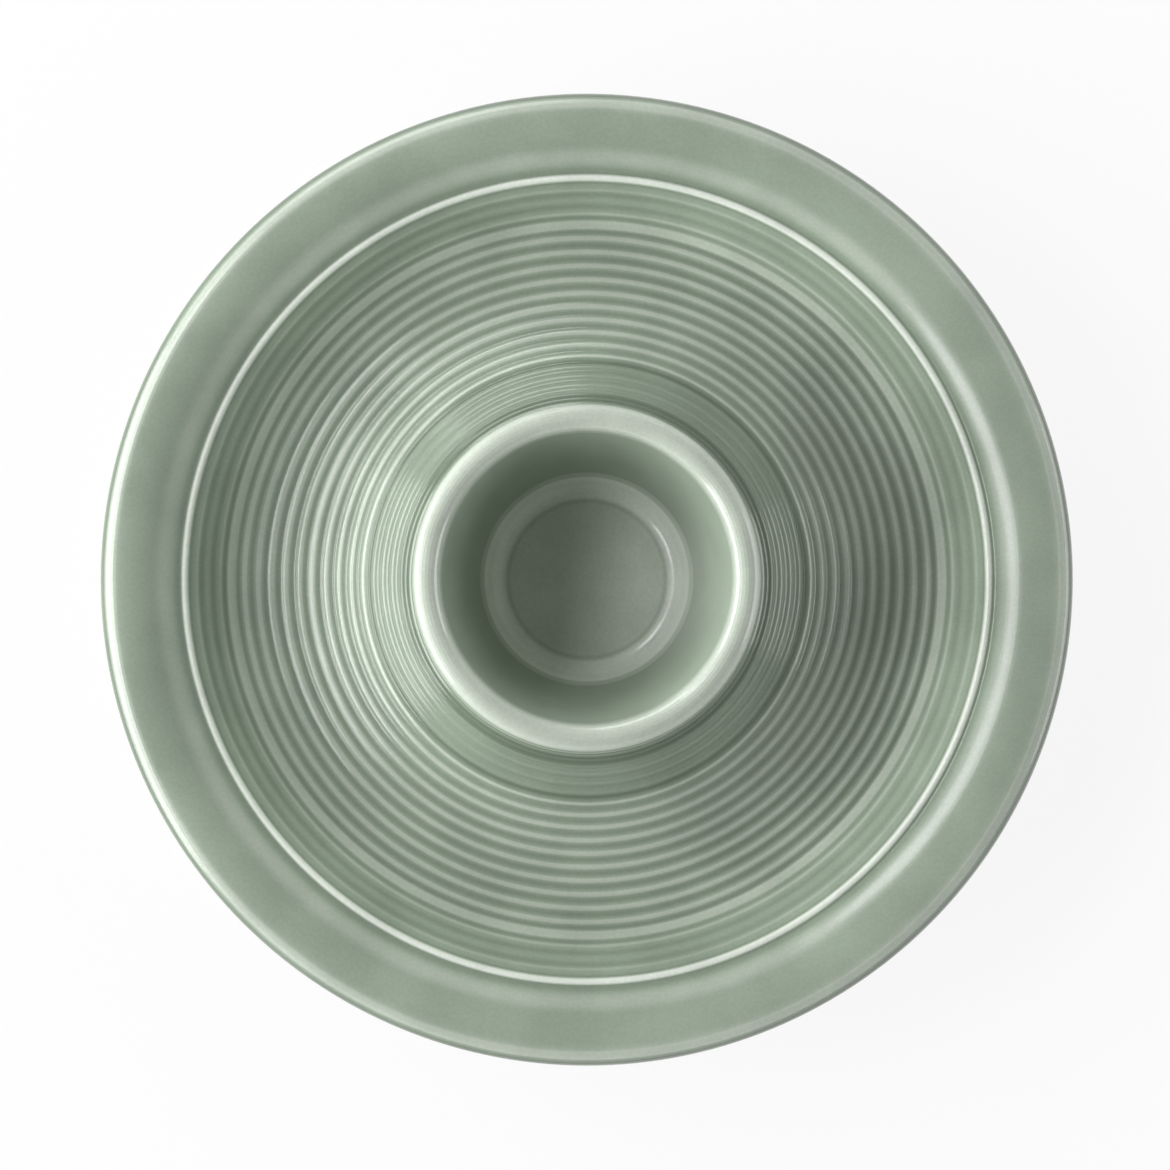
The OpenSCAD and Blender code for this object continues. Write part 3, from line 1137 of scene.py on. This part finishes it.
class EGGCUP_OT_studio(bpy.types.Operator):
    """Makes the white floor, the lamps, the room's light and the camera"""

    bl_idname = "eggcup.studio"
    bl_label = "Studio"

    def execute(self, context):
        scene = context.scene
        studio = scene.eggcup_studio
        lip = scene.eggcup_tray.lip_height
        half = FLOOR_HALF_WIDTH
        mesh = bpy.data.meshes.new("floor")
        mesh.from_pydata(
            [(-half, -half, 0), (half, -half, 0), (half, half, 0), (-half, half, 0)],
            [],
            [(0, 1, 2, 3)],
        )
        mesh.materials.append(floor_material())
        floor = bpy.data.objects.new("floor", mesh)
        scene.collection.objects.link(floor)

        aim = Vector((0, 0, lip))
        for name in SOFTBOXES:
            softbox(name, getattr(studio, name), aim)
        scene.world = room(studio)
        scene.view_settings.view_transform = "Standard"

        pixel = studio.frame_width / PICTURE_WIDTH
        right, up = CUP_RIGHT * pixel, CUP_UP * pixel
        data = bpy.data.cameras.new("camera")
        data.sensor_width = SENSOR_WIDTH
        data.lens = data.sensor_width * studio.camera_height / studio.frame_width
        data.clip_start = 0.01
        data.clip_end = 50.0
        camera = bpy.data.objects.new("camera", data)
        back = Vector((0, -math.sin(studio.camera_tilt), math.cos(studio.camera_tilt)))
        middle = Vector((-right, -up, lip - scene.eggcup_tray.thickness / 2))
        camera.location = middle + back * studio.camera_height
        camera.rotation_euler = (studio.camera_tilt, 0.0, 0.0)
        scene.collection.objects.link(camera)
        scene.camera = camera
        return {"FINISHED"}


OPERATORS = (
    EGGCUP_OT_studio,
    EGGCUP_OT_tray,
    EGGCUP_OT_cup,
    EGGCUP_OT_luting_ring,
    EGGCUP_OT_foot_ring,
)


class EGGCUP_PT_panel(bpy.types.Panel):
    """Lists the pieces and their sizes in the sidebar"""

    bl_idname = "EGGCUP_PT_panel"
    bl_label = "Egg cup"
    bl_space_type = "VIEW_3D"
    bl_region_type = "UI"
    bl_category = "Egg cup"

    def draw(self, context):
        for operator in OPERATORS:
            self.layout.operator(operator.bl_idname)
        for name in FORMS:
            form = getattr(context.scene, name)
            box = self.layout.box()
            for item in form.bl_rna.properties:
                if item.identifier not in ("rna_type", "name"):
                    box.prop(form, item.identifier)


def register():
    for name, form in FORMS.items():
        bpy.utils.register_class(form)
        setattr(bpy.types.Scene, name, PointerProperty(type=form))
    for operator in OPERATORS:
        bpy.utils.register_class(operator)
    bpy.utils.register_class(EGGCUP_PT_panel)


def unregister():
    bpy.utils.unregister_class(EGGCUP_PT_panel)
    for operator in reversed(OPERATORS):
        bpy.utils.unregister_class(operator)
    for name, form in reversed(FORMS.items()):
        delattr(bpy.types.Scene, name)
        bpy.utils.unregister_class(form)


def main():
    register()
    bpy.ops.eggcup.studio()
    bpy.ops.eggcup.tray()
    bpy.ops.eggcup.cup()
    bpy.ops.eggcup.luting_ring()
    bpy.ops.eggcup.foot_ring()


if __name__ == "__main__":
    main()
